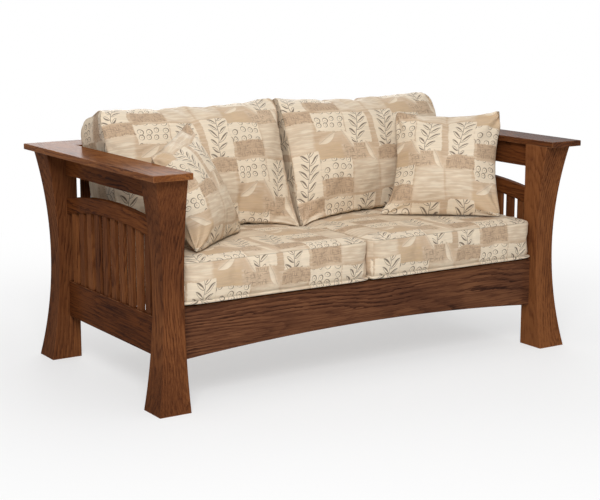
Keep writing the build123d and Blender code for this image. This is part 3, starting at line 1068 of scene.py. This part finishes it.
def sunk_by(points):
    """How far the seat's top gives way under the back cushions' inner corners: a square
    falling away from the middle of the settle, and a smaller one at the gap itself."""
    off_middle = np.abs(points[:, 0])
    wide = dip_depth * (1 - np.minimum(off_middle / dip_reach, 1)) ** 2
    near = gap_dip_depth * (1 - np.minimum(off_middle / gap_dip_reach, 1)) ** 2
    behind = np.clip((points[:, 1] - dip_front) / dip_run, 0, 1)
    return (wide + near) * behind * behind * (3 - 2 * behind)


def seam_places(block, sizes):
    """For each point of a boxed cover, the distance to the nearest seam round the front or
    rear panel, and the place along that seam."""
    a, b, c = block.T
    to_side = (1 - np.abs(a)) * sizes[0] / 2
    to_end = (1 - np.abs(b)) * sizes[1] / 2
    on_strip = np.abs(c) < 1
    distance = np.where(on_strip, (1 - np.abs(c)) * sizes[2] / 2, np.minimum(to_side, to_end))
    along = np.where(to_side < to_end, b * sizes[1] / 2, a * sizes[0] / 2)
    return distance, along


for side, mirror in sides.items():
    sizes = (
        seat_width,
        seat_depth,
        seat_upper_seam - seat_lower_seam,
    )
    block, quads, cloth = sewn_panels(*sizes, cover_step)
    a, b, c = block.T
    distance, along = seam_places(block, sizes)
    rolled = (c == -1) * np.minimum(distance / seat_roll, 1) * np.pi
    bulge = 0.5 * (seat_lower_seam - seat_foot) * np.sin(rolled)
    drawn = np.minimum(distance, seat_roll) / seat_roll_span
    inset = np.where(c == -1, 1 - drawn, 1)
    wide = np.clip(np.where(np.abs(a) > seat_roll_zone, a / inset, a), -1, 1)
    deep = np.clip(np.where(np.abs(b) > seat_roll_zone, b / inset, b), -1, 1)
    half_x = seat_width / 2 - seat_drawn_in * (1 - deep**2)
    half_y = seat_depth / 2 - seat_drawn_in * (1 - wide**2)
    x = wide * (half_x - seat_corner * deep**16 + np.abs(wide) ** 8 * bulge)
    y = deep * (half_y - seat_corner * wide**16 + np.abs(deep) ** 8 * bulge)
    z = (
        seat_lower_seam
        + (c + 1) / 2 * sizes[2]
        + (c == 1) * seat_crown * crown_over(a, b, 3)
        - (seat_lower_seam - seat_foot) * (1 - np.cos(rolled)) / 2
    )
    points = np.stack([x, y, z], 1)
    held = np.where((c == -1) | (distance == 0), 1.0, 0.0)
    points = swell(points, quads, held, slack=0.012, reach=0.012)
    creases = (c > -1) * crease_height * wrinkles(5 * a + c, 5 * b - c, distance, mirror)
    points = tuck_seams(points, quads, distance, along, 1.0 + mirror, creases)
    points[:, 0] = np.clip(points[:, 0], -cushion_reach_x, cushion_reach_x)
    points[:, 0] += mirror * seat_middle_x
    points[:, 1] += seat_middle_y
    points[:, 2] = np.clip(points[:, 2], seat_foot, seat_top)
    points[:, 2] -= sunk_by(points) * (c + 1) / 2
    finish_cushion("seat_cushion", side, points, quads, cloth, distance)


# Back cushions
# Two deep cushions filled with loose fibre, so their faces swell and their corners stand up
# as ears. They lean back on the slats, and the front of the cover runs over the top.
back_cushion_width = 0.6715
back_cushion_height = 0.427
back_cushion_depth = 0.186
back_cushion_lean = math.radians(18.8)
back_cushion_foot_y = 0.043
back_cushion_foot = 0.4472
back_cushion_rear = 0.3295
back_cushion_crown = 0.036
back_cushion_drawn_in = 0.012
back_cushion_sag = 0.014
back_cushion_rim_drop = 0.012
back_cushion_shoulder_drop = 0.010
back_cushion_top_wave = 0.0025
back_cushion_pinch = 0.016
back_cushion_round = 0.024
back_cushion_ear = 0.010
back_cushion_hollow = 0.009
back_cushion_rear_crown = 0.011
back_cushion_toe = 0.026
face_wave = 0.004
gather_count = 10
gather_reach = 0.11
gather_height = 0.0075
lean_up = np.array([0, math.sin(back_cushion_lean), math.cos(back_cushion_lean)])
lean_out = np.array([0, -math.cos(back_cushion_lean), math.sin(back_cushion_lean)])


def gathers(a, b, width, height, start):
    """Folds that fan out from the lower corners: waves in the angle round the corner, high
    a short way from it and gone by the reach."""
    right = (1 - np.abs(a)) * width / 2
    above = (1 + b) * height / 2
    far = np.hypot(right, above)
    fan = np.sin(gather_count * np.arctan2(above, right) + start + np.sign(a))
    return fan * (far / gather_reach) * np.exp(1 - (far / gather_reach * 1.6) ** 2)


for side, mirror in sides.items():
    sizes = (back_cushion_width, back_cushion_height, back_cushion_depth)
    block, quads, cloth = sewn_panels(*sizes, cover_step, over_top=True)
    a, b, c = block.T
    start = 2.0 + mirror
    distance, along = seam_places(block, sizes)
    behind = (1 - c) / 2 * (back_cushion_depth - back_cushion_rear_crown)
    upper = (1 + b) / 2
    across = a * (back_cushion_width / 2 - back_cushion_drawn_in * (1 - b**2))
    outer = a * mirror > 0
    rounded = np.where(outer, back_cushion_round, back_cushion_ear)
    across -= (
        a * rounded * np.clip(b, 0, 1) ** 6 + a * back_cushion_ear * 0.5 * (b < 0) * b**10
    )
    across -= (np.abs(a) == 1) * a * back_cushion_hollow * (1 - c**2)
    up = (
        behind * math.tan(back_cushion_lean) * (1 - upper)
        + upper * back_cushion_height
        + back_cushion_drawn_in * (1 - a**2) * (1 - upper) ** 4
        - upper**6 * (back_cushion_sag * (1 - a**4) + back_cushion_rim_drop * c**8)
        - upper**6 * np.where(outer, back_cushion_shoulder_drop * a**8, 0)
        + upper**6 * back_cushion_top_wave * unevenness(2 * a, np.zeros_like(a), start)
    )
    out = (
        -behind
        + (c == 1) * back_cushion_crown * crown_over(a, b, 2.6)
        - (c == -1) * back_cushion_rear_crown * crown_over(a, b, 2.6)
        + (c == 1) * face_wave * unevenness(a, b, start) * crown_over(a, b, 4)
        - c * back_cushion_pinch * upper**12
    )
    foot = np.array([mirror * seat_middle_x, back_cushion_foot_y, back_cushion_foot])
    points = (
        foot
        + across[:, None] * np.array([1, 0, 0])
        + up[:, None] * lean_up
        + out[:, None] * lean_out
    )
    sewn = (distance == 0) & ((np.abs(a) == 1) | (b == -1) | (c == -1))
    held = np.where(sewn, 1.0, np.where(np.abs(a) == 1, 0.6, 0.0))
    points = swell(points, quads, held, slack=0.03, reach=0.022)
    to_side = (1 - np.abs(a)) * back_cushion_width / 2
    beyond = np.where((b > 0.4) & (c == 1), to_side, np.where(b == 1, 1.0, distance))
    folds = (c == 1) * gather_height * gathers(a, b, sizes[0], sizes[1], start)
    folds += crease_height * 1.4 * wrinkles(4 * a + c, 3 * b - c, beyond, start)
    points = tuck_seams(points, quads, beyond, along, start, folds * (beyond > 0))
    reach_x = mirror * (points[:, 0] - mirror * seat_middle_x)
    reach_x = np.clip(reach_x, -cushion_reach_x, cushion_reach_x)
    points[:, 0] = mirror * (seat_middle_x + reach_x)
    past_lean = -back_cushion_depth - (points - foot) @ lean_out
    points += np.maximum(past_lean, 0)[:, None] * lean_out
    points[:, 1] = np.minimum(points[:, 1], back_cushion_rear)
    points[:, 2] = np.maximum(points[:, 2], back_cushion_foot)
    points[:, 2] -= sunk_by(points) * (1 - upper) ** 3
    toe = ((1 - mirror * a) / 2) ** 6 * (1 - upper) ** 8 * (c + 1) / 2
    points[:, 1] -= back_cushion_toe * toe
    finish_cushion("back_cushion", side, points, quads, cloth, beyond)


# Throw pillows
# Two square knife-edge pillows of the same cloth, each propped on a seat cushion between an
# arm and a back cushion. Filling draws their sides in and leaves ears at the corners.
pillow_side = 0.386
pillow_crown = 0.058
pillow_drawn_in = 0.021
pillow_foot_drawn_in = 0.003
pillow_ear = 0.006
pillow_slump = {"left": 0.07, "right": 0.0}
pillow_ears = {
    "left": [(-1, -1, 0.014, 0.0), (-1, 1, 0.004, 0.006), (1, -1, 0.008, 0.0)],
    "right": [(-1, -1, 0.034, 0.0), (1, 1, 0.021, 0.007), (-1, 1, -0.012, -0.005)],
}
pillow_settled = 0.12
pillow_step = 0.0095
pillow_reach_x = 0.6755
pillow_corner = np.array([0.2928, -0.070, 0.4472])
pillow_along = np.array([0.766, -0.643, 0.0])
pillow_up = np.array([0.292, 0.348, 0.891])
pillow_out = np.array([-0.573, -0.683, 0.454])
for side, mirror in sides.items():
    sizes = (pillow_side, pillow_side, 2 * pillow_crown)
    block, quads, cloth = sewn_panels(*sizes, pillow_step, boxed=False)
    a, b, c = block.T
    start = 3.0 + mirror
    away = np.minimum(1 - np.abs(a), 1 - np.abs(b)) * pillow_side / 2
    drawn = np.where(b > 0, pillow_drawn_in, pillow_foot_drawn_in)
    across = a * (pillow_side / 2 - pillow_drawn_in * (1 - b**2))
    up = b * (pillow_side / 2 - drawn * (1 - a**2))
    across -= a * pillow_ear * np.abs(b) ** 20
    up -= b * pillow_ear * np.abs(a) ** 20
    up -= pillow_slump[side] * ((1 + a) / 2) ** 2 * ((1 + b) / 2) ** 2
    for right, top, longer, higher in pillow_ears[side]:
        tip = ((1 + right * a) / 2) ** 8 * ((1 + top * b) / 2) ** 8
        across += right * longer * tip
        up += top * higher * tip
    settled = b + pillow_settled * (1 - b**2)
    fold = gathers(a, -np.abs(b), pillow_side, pillow_side, start + b)
    out = np.where(away == 0, 0, c) * (
        pillow_crown * crown_over(a, settled, 2) ** 0.55
        + face_wave * unevenness(a, b, start + c) * crown_over(a, b, 4)
    )
    local = np.stack([across, up, out], 1)
    held = np.where(away == 0, 0.8, 0.0)
    local = swell(local, quads, held, slack=0.03, reach=0.014)
    along = np.where(np.abs(a) > np.abs(b), b, a) * pillow_side / 2
    beyond = np.where(away == 0, 1.0, away)
    folds = gather_height * fold + crease_height * wrinkles(4 * a, 4 * b, away, start + c)
    local = tuck_seams(local, quads, beyond, along, start, folds * (away > 0))
    points = (
        pillow_corner
        + (local[:, :1] + pillow_side / 2) * pillow_along
        + (local[:, 1:2] + pillow_side / 2) * pillow_up
        + local[:, 2:] * pillow_out
    )
    points[:, 0] = np.minimum(points[:, 0], pillow_reach_x)
    points[:, 2] = np.maximum(points[:, 2], pillow_corner[2])
    points[:, 0] *= mirror
    if mirror < 0:
        quads, cloth = quads[:, ::-1], cloth[:, ::-1]
    finish_cushion("throw_pillow", side, points, quads, cloth, away)
